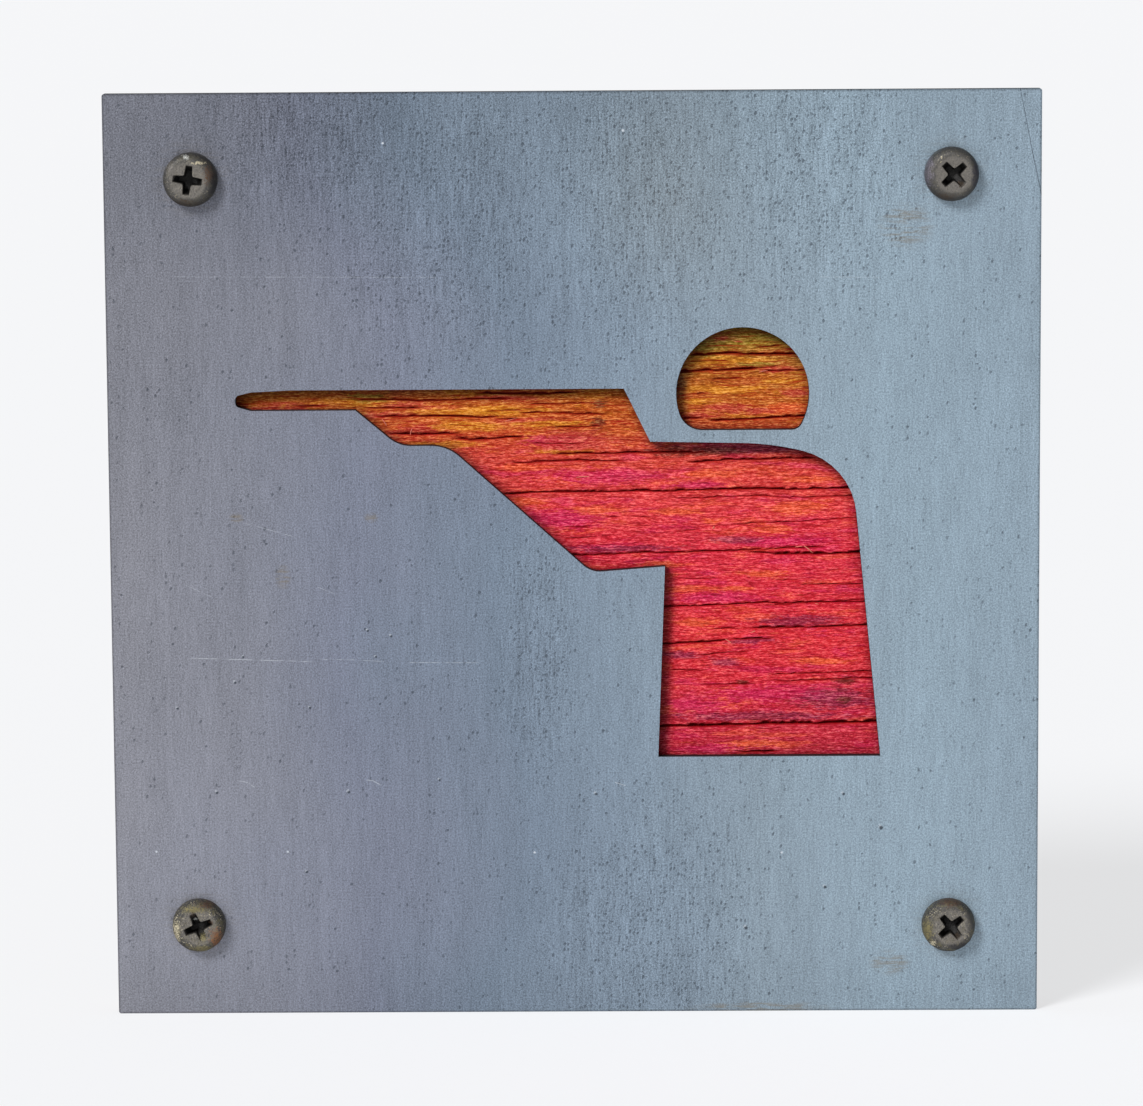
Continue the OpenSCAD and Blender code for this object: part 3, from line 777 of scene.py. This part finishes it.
def roll_the_plate():
    """The plate's material: mill scale with streaks, pits, scratches and stains, dark oxide on its walls."""
    material, shader, place, facing = begin("plate_steel", Metallic=0.6)
    across, _, up = place.parts()
    share = (across + plate_half) / (2 * plate_half) + (place.noise((30, 30, 42), 2, seed=1) - 0.5) * 0.2
    share = share + up.rise(112, 145) * 0.09
    colour = share.node("ValToRGB", {"stops": face_tones_across}, {"Fac": share})
    streaks = place.noise((0.34, 1, 4.0), 3, 0.6, seed=2) - 0.5
    grain = place.noise((0.26, 0.3, 0.28), 2, 0.8, seed=4) - 0.5
    drift = place.noise((2.6, 7, 22), 3, 0.6, seed=6) - 0.5
    veins = (place.noise((1.4, 3, 7), 2, 0.6, seed=9) - 0.5) * 1.1
    zone = join([place.spot(*patch) for patch in pitted]).rise(0.0, 0.8)
    crowd = veins + zone * 0.46
    # Darker towards the top, most on the left, and along the bottom edge, lighter in the top left corner and
    # low on the left
    shade = up.rise(112, 150) * across.rise(50, 10) * 0.14 + up.rise(130, 150) * 0.04 + up.rise(14, 0) * 0.1
    shade = shade + place.spot(-72, 136, 50, 66).most(0.0) * 0.18
    shade = shade - place.spot(-77, 152, 22, 22).most(0.0) * 0.14
    shade = shade - place.spot(-62, 20, 34, 40).most(0.0) * 0.11
    shade = shade + zone * 0.03 + veins * (0.09 + 0.13 * zone)
    rolled = (2.0 + 0.5 * zone) * grain + (0.5 + 0.5 * zone) * streaks + 0.26 * drift
    colour = colour.times(0.94 + rolled - shade)

    spread = across.node("CombineXYZ", None, {0: across / 0.64 + grain, 1: up / 0.95 + grain})
    peck = spread.node("TexVoronoi", {"voronoi_dimensions": "2D"}, {"Vector": spread, "Scale": 1.0})
    chance, dark, _ = peck.beside("Color").parts()
    dots = (peck - 0.18 * dark).rise(0.21, 0.05) * (chance + crowd).rise(0.82, 1.05) * (0.3 + 0.7 * dark)
    dashes = (place.noise((0.3, 0.3, 1.2), 2, 0.5, seed=15) + 0.12 * crowd).rise(0.67, 0.77)
    wide = place.scaled((2.6, 2.6, 2.6))
    fleck = wide.node("TexVoronoi", None, {"Vector": wide, "Scale": 1.0})
    red, green, _ = fleck.beside("Color").parts()
    specks = fleck.rise(0.11, 0.06) * red.rise(0.4, 0.9)
    pits = dots.most(dashes * 0.8).most(specks)
    colour = (pits * 0.6).over(colour, pit_black)
    flecks = fleck.rise(0.06, 0.03) * green.rise(0.75, 0.95) * 0.6
    chipped = join([place.spot(*chip) for chip in chips_in_scale]).rise(0.2, 0.5) * 0.8
    broken = place.noise((1.3, 1, 1), 2, 0.6, seed=10).rise(0.35, 0.6)
    light = join([line_mask(across, up, *scratch) for scratch in light_scratches]) * (0.15 + 0.85 * broken)
    # Painted highlight on the upper left lip of each nick
    painted_nick_highlight = join([place.spot(x - 0.1, z + 0.12, half, half) for x, z, half in nicks]) + grain * 2
    painted_nick_highlight = painted_nick_highlight.rise(0.1, 0.5) * 0.4
    colour = flecks.most(light * 0.42).most(chipped).most(painted_nick_highlight).over(colour, scratch_and_highlight_white)
    dark_line = join([line_mask(across, up, *scratch) for scratch in dark_scratches])
    struck = join([place.spot(x + 0.06, z - 0.08, half, half) for x, z, half in nicks]) + grain * 2
    struck = struck.rise(0.1, 0.5)
    colour = (dark_line * 0.7).most(struck * 0.9).over(colour, pit_black)

    stain = join([place.spot(*stain) for stain in scale_stains]).rise(0.0, 0.6)
    blot = place.noise((3.2, 2, 0.36), 3, 0.6, seed=17).rise(0.42, 0.62)
    halo = join([place.spot(*middle(name)[:2], 7.2, 7.2) for name in screw_names]).most(0.0)
    warm = place.spot(16, 132, 16, 22).most(0.0) * 0.12
    colour = (stain * blot * 0.55).most(halo * blot * 0.4).most(warm).over(colour, stain_brown)
    rim = (plate_half - across.size()).least(plate_middle - (up - plate_middle).size())
    wall = facing.parts()[1].size().rise(0.985, 0.8)
    colour = wall.most(rim.rise(0.4, 0.1) * 0.4).over(colour, cut_oxide)

    relief = (grain * 1.6 + streaks * 0.4 - pits).bump(0.05)
    feed(shader, Base_Color=colour, Roughness=0.5 + 0.2 * drift + 0.1 * pits + 0.2 * wall, Normal=relief)
    return material


def soften(piece, width):
    """Joins a CAD piece's surfaces and breaks its sharp edges by this width in millimetres."""
    piece.modifiers.new("join", "WELD").merge_threshold = 0.001 * MM
    edges = piece.modifiers.new("edges", "BEVEL")
    edges.width, edges.segments, edges.limit_method = width * MM, 2, "ANGLE"
    edges.angle_limit = math.radians(30)
    edges.harden_normals = True


soften(plate, 0.12)
plate.material_slots[0].material = roll_the_plate()

# Corner screws: four pan-head wood screws with a cross recess, black oxide that is worn grey on top of the
# heads, and rust of its own on each. They pass through clearance holes in the plate and bite into the board.

head_flat_r, head_rim_h = 3.0, 0.8
# The cross recess: half its span at the top and on its floor, its wings' width and its depth, then the radius
# of the well in its middle and of the finely meshed part of the head
recess_half, recess_floor_half, recess_wing, recess_depth = 2.4, 1.45, 1.1, 1.9
well_r, recess_reach = 1.08, 2.7
thread_depth, thread_pitch, point_l = 0.5, 1.4, 2.8
# How far apart the rings of the recess lie, how many points each ring has, and how many rings the thread has
head_ring_step, ring_points, thread_rings = 0.07, 168, 52
# How deep the pits in a clean head are and how much deeper in a crusted one, how far out the clogs of the
# recess lie, and how far each one reaches
pit_depth, crust_depth, clog_out, clog_r = 0.03, 0.11, 1.8, 1.5
oxide, dark_oxide_and_painted_shade, worn_grey_and_painted_light = tone(66, 65, 64), tone(34, 33, 36), tone(110, 106, 101)
painted_lit_plum_grey, painted_shade_blue_black, earth_and_painted_shade = tone(108, 103, 112), tone(40, 39, 52), tone(62, 50, 38)
rust_brown, rust_orange, olive_rust = tone(82, 58, 40), tone(132, 86, 50), tone(122, 113, 74)
painted_glint, cream_grit_and_painted_glint, recess_dirt_and_shade = tone(206, 208, 202), tone(196, 186, 158), tone(14, 13, 13)
# For each screw: how far its recess is turned and how far it was struck off the head's middle, how crusted
# the head is, the turn of each clogged wing and how full it is, then patches of colour: their turn, way out,
# half width and half height. The patches are partly rust, grit and packed dirt, and partly painted light and
# shade on the crown: lighter on its left, darker on its right and lower side, with small painted glints.
screws = {
    "screw_top_left": (-8, -0.3, 0.3, (), (
        (98, 3.7, 0.7, 0.32, painted_glint), (60, 3.2, 1.2, 0.22, cream_grit_and_painted_glint), (14, 3.2, 0.9, 1.5, rust_brown),
        (-8, 3.9, 0.7, 1.5, dark_oxide_and_painted_shade), (-100, 3.8, 2.4, 0.8, earth_and_painted_shade), (150, 3.6, 0.9, 1.6, worn_grey_and_painted_light))),
    "screw_top_right": (43, 0.3, 0.2, ((-47, 0.5),), (
        (172, 3.8, 0.8, 3.0, painted_lit_plum_grey), (0, 3.9, 0.8, 2.8, painted_shade_blue_black), (-112, 3.9, 2.2, 0.8, earth_and_painted_shade),
        (-47, 2.1, 0.5, 0.5, earth_and_painted_shade), (132, 2.7, 0.2, 0.14, cream_grit_and_painted_glint), (122, 3.3, 0.14, 0.2, cream_grit_and_painted_glint))),
    "screw_bottom_left": (22, 0.0, 1.0, ((-68, 0.85), (112, 0.55)), (
        (100, 3.0, 2.2, 0.6, olive_rust), (-30, 3.3, 1.1, 1.7, rust_orange), (190, 3.6, 0.7, 1.8, cream_grit_and_painted_glint),
        (70, 3.9, 1.6, 0.6, rust_brown), (-80, 3.7, 2.0, 0.6, olive_rust), (-66, 1.9, 0.6, 0.8, olive_rust),
        (20, 2.1, 0.5, 0.4, rust_brown), (112, 2.1, 0.5, 0.5, earth_and_painted_shade), (112, 1.3, 0.42, 0.22, painted_glint))),
    "screw_bottom_right": (40, 0.35, 0.8, ((-50, 0.5),), (
        (86, 4.0, 2.2, 0.7, rust_brown), (190, 3.6, 0.9, 2.0, olive_rust), (226, 3.7, 0.5, 0.5, cream_grit_and_painted_glint),
        (-60, 3.8, 1.8, 0.9, dark_oxide_and_painted_shade), (20, 3.8, 0.8, 1.8, oxide), (-50, 2.0, 0.5, 0.5, earth_and_painted_shade))),
}


def recess_at(u, v):
    """Depth of the cross recess at a place on the head, with its wings along u and v."""
    slope = recess_depth / (recess_half - recess_floor_half)
    depth = np.zeros_like(u)
    for along, beside in ((u, v), (v, u)):
        half_wing = recess_wing / 2 + 0.2 - 0.1 * np.abs(along)
        wing = np.minimum((recess_half - np.abs(along)) * slope, (half_wing - np.abs(beside)) * 9)
        depth = np.maximum(depth, wing)
    return np.clip(np.maximum(depth, (well_r - np.hypot(u, v)) * 6), 0, recess_depth)


def turn_screw(name, turn, shift, crust, clogs, seed):
    """A screw's mesh: rings from the recess's middle out over the head and down the thread to the point."""
    x, z, head_top, tip = middle(name)
    low, high = (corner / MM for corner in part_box(name))
    rim_r, seat = (high.x - low.x) / 2, plate_low.y
    head_h = seat - head_top
    inner = np.arange(0.03, recess_reach, head_ring_step)
    outer = np.linspace(recess_reach, head_flat_r, 5, endpoint=False)
    fall = np.radians(np.linspace(0, 90, 12))
    radii = np.concatenate([inner, outer, head_flat_r + (rim_r - head_flat_r) * np.sin(fall)])
    height = np.full(len(radii), head_h)
    height[-len(fall):] = head_rim_h + (head_h - head_rim_h) * np.cos(fall)
    radii = np.concatenate([radii, [rim_r, rim_r, rim_r - 0.12, 3.2]])
    height = np.concatenate([height, [head_rim_h * 0.6, 0.12, 0.0, 0.0]])

    angle = np.linspace(0, 2 * np.pi, ring_points, endpoint=False)
    r, a = np.meshgrid(radii, angle, indexing="ij")
    u, v = r * np.cos(a - np.radians(turn)), r * np.sin(a - np.radians(turn))
    ax, az = r * np.cos(a), r * np.sin(a)
    top = np.repeat(height[:, None], ring_points, axis=1)
    worn = blotches(ax, az, 0.9, 0.9, seed) * 0.6 + blotches(ax, az, 0.35, 0.35, seed + 1) * 0.4
    pitting = (pit_depth + crust_depth * crust) * worn * (height > 0.2)[:, None]
    cut = recess_at(u, v) * (r < recess_reach)
    for way, share in clogs:
        way = np.radians(way)
        off = np.hypot(ax - clog_out * np.cos(way), az - clog_out * np.sin(way))
        cut *= 1 - share * np.clip(clog_r - off, 0, 1) * (0.6 + 0.4 * worn)
    top = top - pitting - cut
    r = r - 0.5 * pitting * (radii > head_flat_r + 0.4)[:, None]
    leaning = shift * np.clip((rim_r - radii) / (rim_r - head_flat_r), 0, 1) * (height > head_rim_h)
    head = np.stack([x + leaning[:, None] + r * np.cos(a), seat - top, z + r * np.sin(a)], -1)

    down = np.linspace(0.05, tip - seat, thread_rings)
    depth, a = np.meshgrid(down, angle, indexing="ij")
    phase = (depth / thread_pitch + a / (2 * np.pi)) % 1
    ridge = np.clip(1 - np.abs(phase - 0.5) * 3.2, 0, 1)
    root, left = screw_thread_r - thread_depth, tip - seat - depth
    taper = np.clip(left / point_l, 0, 1)
    fade = np.clip(left / 1.6, 0, 1) * np.clip((depth - 0.4) / 1.5, 0, 1)
    shank_r = root * taper ** 0.8 + thread_depth * ridge * fade + 0.02
    shank = np.stack([x + shank_r * np.cos(a), seat + depth, z + shank_r * np.sin(a)], -1)

    screw = skin(name + "_worn", np.concatenate([head, shank]))
    shade = np.zeros((len(radii) + len(down), ring_points))
    shade[:len(radii)] = np.clip(cut / 0.5, 0, 1)
    screw.data.attributes.new("recess", "FLOAT", "POINT").data.foreach_set("value", shade.ravel())
    return screw


def oxide_the_screw(name, shift, crust, patches, seed):
    """A screw's material: oxide that is worn off the flat of the head, with grit, rust and patches, some of
    them painted light, shade and glints on the crown, and a recess painted dark.
    """
    material, shader, place, _ = begin(name + "_steel", Metallic=0.5)
    across, _, up = place.parts()
    x, z, _, _ = middle(name)
    off = ((across - x - shift * 0.8) ** 2 + (up - z) ** 2) ** 0.5
    mottle = place.noise((0.9, 0.9, 0.9), 3, 0.65, seed=seed)
    fine = place.noise((0.24, 0.24, 0.24), 2, 0.7, seed=seed + 1)
    ragged = (mottle - 0.5) * 2.4 + (fine - 0.5) * 2.6
    grains = fine.rise(0.38, 0.62)
    flat = (off + ragged * 0.4).rise(head_flat_r + 0.3, head_flat_r - 0.3)
    crest = (off - head_flat_r - 0.35).size().rise(0.4, 0.05)
    colour = (flat * 0.9).most(crest * 0.35 * mottle.rise(0.4, 0.6)).over(oxide, worn_grey_and_painted_light)
    colour = (off.rise(3.5, 4.3) * 0.5).over(colour, dark_oxide_and_painted_shade)
    recess = place.node("Attribute", {"attribute_name": "recess"}, output=plain_number)
    grit = crust * (1 - flat * 0.55) * (1 - recess)
    colour = (fine.rise(0.54, 0.66) * (0.08 + mottle.rise(0.4, 0.6) * grit)).over(colour, cream_grit_and_painted_glint)
    colour = ((1 - mottle - (fine - 0.5) * 0.6).rise(0.5, 0.62) * grit * 0.5).over(colour, olive_rust)
    colour = (fine.rise(0.48, 0.34) * (0.35 + grit * 0.5)).over(colour, dark_oxide_and_painted_shade)
    # The recess painted near black: dirt, and painted shade in its depth
    colour = (recess * 0.96).over(colour, recess_dirt_and_shade)
    # Patches of rust, grit and dirt, and of painted light and shade on the crown, with painted glints
    for turn, out, half_width, half_height, patch in patches:
        turn = math.radians(turn)
        spot = place.spot(x + out * math.cos(turn), z + out * math.sin(turn), half_width, half_height)
        colour = ((spot + ragged).rise(-0.2, 0.7) * (0.35 + 0.6 * grains)).over(colour, patch)
    relief = (mottle * 0.6 + fine * 0.8).bump(0.09 + 0.12 * crust)
    feed(shader, Base_Color=colour, Roughness=0.36 + 0.4 * mottle, Normal=relief)
    return material


for number, (name, (turn, shift, crust, clogs, patches)) in enumerate(screws.items()):
    screw = turn_screw(name, turn, shift, crust, clogs, 300 + 10 * number)
    screw.data.materials.append(oxide_the_screw(name, shift, crust, patches, 30.0 + 5 * number))
    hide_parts(name)
    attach(screw, "root")

# Sawtooth hanger: a zinc-plated strip, stamped with a row of teeth along its lower edge and bent up between
# two flat feet, so that a nail in the wall slips behind it. Two small flat-headed nails hold it to the board.

hanger_low, hanger_high = (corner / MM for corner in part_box("sawtooth_hanger"))
strip_t, strip_edge_r, strip_corner_r = 0.8, 0.14, 1.0
# Half the length of the raised part, and where the flat feet start
raised_half, foot_start = 14.0, 15.6
tooth_pitch, tooth_h, tooth_pairs = 2.2, 1.7, 5
# About how far apart the strip's sections lie
strip_step = 0.275


def strip_line():
    """The strip's middle line from its left end to its right, across and out. Each bend has three points."""
    end, high = hanger_high.x, hanger_high.y - hanger_low.y - strip_t
    half = [(end, 0.0), (foot_start + 0.45, 0.0), (foot_start + 0.1, 0.06), (foot_start - 0.3, 0.32)]
    half += [(raised_half + 0.3, high - 0.32), (raised_half - 0.1, high - 0.06), (raised_half - 0.45, high)]
    corners = [(-x, y) for x, y in half] + [(x, y) for x, y in reversed(half)]
    places = [corners[0]]
    for (x0, y0), (x1, y1) in zip(corners, corners[1:]):
        steps = max(1, round(abs(x1 - x0) / strip_step))
        places += [(x0 + (x1 - x0) * k / steps, y0 + (y1 - y0) * k / steps) for k in range(1, steps + 1)]
    return np.array(places)


def stamp_hanger():
    """The strip's mesh: its section, with rounded edges, carried along its middle line."""
    line = strip_line()
    way = np.gradient(line, axis=0)
    way /= np.linalg.norm(way, axis=1)[:, None]
    out = np.stack([-way[:, 1], way[:, 0]], 1)
    x = line[:, 0]
    reach = (tooth_pairs + 0.5) * tooth_pitch
    notch = 1 - np.abs(((x / tooth_pitch + 0.5) % 1) - 0.5) * 2
    notch = np.where(np.abs(x) <= reach, notch * tooth_h, 0)
    ends = np.clip((np.abs(x) - hanger_high.x + strip_corner_r) / strip_corner_r, 0, 1)
    corner = strip_corner_r * (1 - np.sqrt(np.clip(1 - ends ** 2, 0, 1)))
    bottom = hanger_low.z + notch + corner
    top = hanger_high.z - corner
    r = strip_edge_r
    rounded = [(0, r), (r * 0.3, r * 0.3), (r, 0)]
    rounded += [(strip_t - n, cut) for n, cut in reversed(rounded)]
    rings = []
    for (px, py), (nx, ny), low, high in zip(line, out, bottom, top):
        ring = [(n, low + cut) for n, cut in rounded] + [(n, high - cut) for n, cut in reversed(rounded)]
        rings.append([(px + nx * n, hanger_low.y + py + ny * n, edge) for n, edge in ring])
    return skin("hanger_strip", np.array(rings))


galvanised, dull_zinc, white_rust = tone(190, 188, 180), tone(140, 136, 122), tone(206, 206, 202)


def plate_with_zinc(name):
    """The material of the hanger and its nails: dulled zinc in small crystals, with specks of rust."""
    material, shader, place, _ = begin(name, Metallic=1.0)
    spangle = place.scaled((1.6, 1.6, 1.6))
    cells = spangle.node("TexVoronoi", None, {"Vector": spangle, "Scale": 1.0})
    leaf = cells.beside("Color").parts()[0]
    cloud = place.noise((2.4, 2.4, 2.4), 3, 0.6, seed=41).rise(0.4, 0.62)
    scuffs = place.noise((6, 0.6, 0.2), 3, 0.6, seed=43).rise(0.35, 0.7)
    colour = (cloud * 0.7).over((leaf * 0.3).over(galvanised, white_rust), dull_zinc)
    specks = place.noise((0.7, 0.7, 0.7), 3, 0.65, seed=45).rise(0.66, 0.74)
    colour = (specks * 0.8).over(colour, rust_brown)
    feed(shader, Base_Color=colour, Roughness=0.28 + 0.16 * leaf + 0.2 * cloud, Normal=scuffs.bump(0.015))
    return material


zinc = plate_with_zinc("hanger_zinc")
hanger = stamp_hanger()
drill(hanger, [((x, hanger_high.y + 1, z), (x, hanger_low.y - 1, z), nail_r + 0.2)
               for x, z, _, _ in map(middle, nail_names)])
hanger.data.materials.append(zinc)
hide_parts("sawtooth_hanger")
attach(hanger, "root")


def lathe(name, node, profile, steps=72):
    """A turned piece on a CAD node's axis: its profile is radius and distance out from the board's back."""
    x, z, _, _ = middle(node)
    angle = np.linspace(0, 2 * np.pi, steps, endpoint=False)
    profile = np.array(profile)
    r, a = np.meshgrid(profile[:, 0], angle, indexing="ij")
    y = np.repeat(profile[:, 1][:, None], steps, axis=1)
    return skin(name, np.stack([x + r * np.cos(a), board_high.y + y, z + r * np.sin(a)], -1))


nail_head_r, nail_head_h, nail_point = 1.6, 0.5, 1.6
for name in nail_names:
    length = board_high.y + strip_t - middle(name)[2]
    shank = [(0.03, strip_t - length), (nail_r * 0.5, strip_t - length + nail_point * 0.45),
             (nail_r, strip_t - length + nail_point), (nail_r, strip_t - 0.05)]
    head = [(nail_r + 0.1, strip_t), (nail_head_r - 0.08, strip_t), (nail_head_r, strip_t + 0.1),
            (nail_head_r, strip_t + 0.26), (nail_head_r - 0.14, strip_t + 0.4),
            (nail_head_r * 0.72, strip_t + 0.48), (nail_head_r * 0.4, strip_t + nail_head_h),
            (0.05, strip_t + nail_head_h)]
    nail = lathe(name + "_turned", name, shank + head, 48)
    nail.data.materials.append(zinc)
    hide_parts(name)
    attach(nail, "root")

# Bumpers: two moulded rubber pads, stuck to the board's back near its lower corners, that hold the sign
# upright against a wall and keep it from marking one.

pad_r, pad_tip_r, pad_h, pad_dimple = 4.75, 3.25, 2.2, 0.16
rubber_black, rubber_dust = tone(44, 44, 47), tone(104, 102, 98)


def mould_rubber():
    """The bumpers' material: matt black rubber that has caught some dust."""
    material, shader, place, _ = begin("bumper_rubber", Specular_IOR_Level=0.35)
    grain = place.noise((0.18, 0.18, 0.18), 2, 0.6, seed=51)
    dust = place.noise((1.6, 1.6, 1.6), 3, 0.6, seed=53).rise(0.45, 0.7)
    colour = (dust * 0.4).over(rubber_black, rubber_dust)
    feed(shader, Base_Color=colour, Roughness=0.55 + 0.3 * dust, Normal=grain.bump(0.02))
    return material


rubber = mould_rubber()
turn = np.radians(np.linspace(0, 90, 14))
lip = [(0.05, 0.0), (pad_r - 0.1, 0.0), (pad_r, 0.1)]
dome = [(pad_tip_r + (pad_r - pad_tip_r) * c, pad_h * (0.25 + 0.75 * s))
        for c, s in zip(np.cos(turn), np.sin(turn))]
dimple = [(pad_tip_r - 0.35, pad_h), (pad_tip_r - 0.55, pad_h - 0.12),
          (0.9, pad_h - pad_dimple), (0.05, pad_h - pad_dimple)]
for name in ("bumper_left", "bumper_right"):
    pad = lathe(name + "_moulded", name, lip + dome + dimple, 96)
    pad.data.materials.append(rubber)
    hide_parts(name)
    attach(pad, "root")

# Studio: the sign stands on a plain pale floor under soft light from the upper left. The camera stands where
# the photograph was taken from, a little above the sign.

# Half the floor's side in metres, so that its edges lie far out of sight
floor_half = 60
floor_mesh = bpy.data.meshes.new("floor")
floor_mesh.from_pydata([(x * floor_half, y * floor_half, 0) for x, y in ((-1, -1), (1, -1), (1, 1), (-1, 1))],
                       [], [(0, 1, 2, 3)])
floor = bpy.data.objects.new("floor", floor_mesh)
bpy.context.scene.collection.objects.link(floor)
paint, _, _, _ = begin("floor_paint", Base_Color=tone(137, 138, 141), Roughness=0.8,
                       Emission_Color=(0.985, 0.99, 1.0, 1.0), Emission_Strength=0.665)
floor_mesh.materials.append(paint)
floor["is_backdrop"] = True

world = bpy.data.worlds.new("room")
world.use_nodes = True
world.node_tree.nodes["Background"].inputs["Color"].default_value = (1.0, 1.0, 1.0, 1.0)
world.node_tree.nodes["Background"].inputs["Strength"].default_value = 0.32
bpy.context.scene.world = world
sun = bpy.data.lights.new("soft_box", "SUN")
sun.energy, sun.angle = 3.35, math.radians(20)
lamp = bpy.data.objects.new("soft_box", sun)
lamp.rotation_mode = "QUATERNION"
lamp.rotation_quaternion = Vector((-0.8, -1.0, 0.95)).to_track_quat("Z", "Y")
bpy.context.scene.collection.objects.link(lamp)

camera_data = bpy.data.cameras.new("camera")
camera_data.sensor_width, camera_data.lens = 36.0, 160.94
camera_data.clip_start, camera_data.clip_end = 0.05, 200.0
camera = bpy.data.objects.new("camera", camera_data)
camera.location = (0.007876, -0.821748, 0.189456)
camera.rotation_euler = [math.radians(turn) for turn in (82.071, 0.378, 0.533)]
bpy.context.scene.collection.objects.link(camera)
bpy.context.scene.camera = camera
bpy.context.scene.view_settings.view_transform = "Standard"

boxes = {"cad": cad_box, "visual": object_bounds()}
{name: [list(corner) for corner in box] for name, box in boxes.items()}
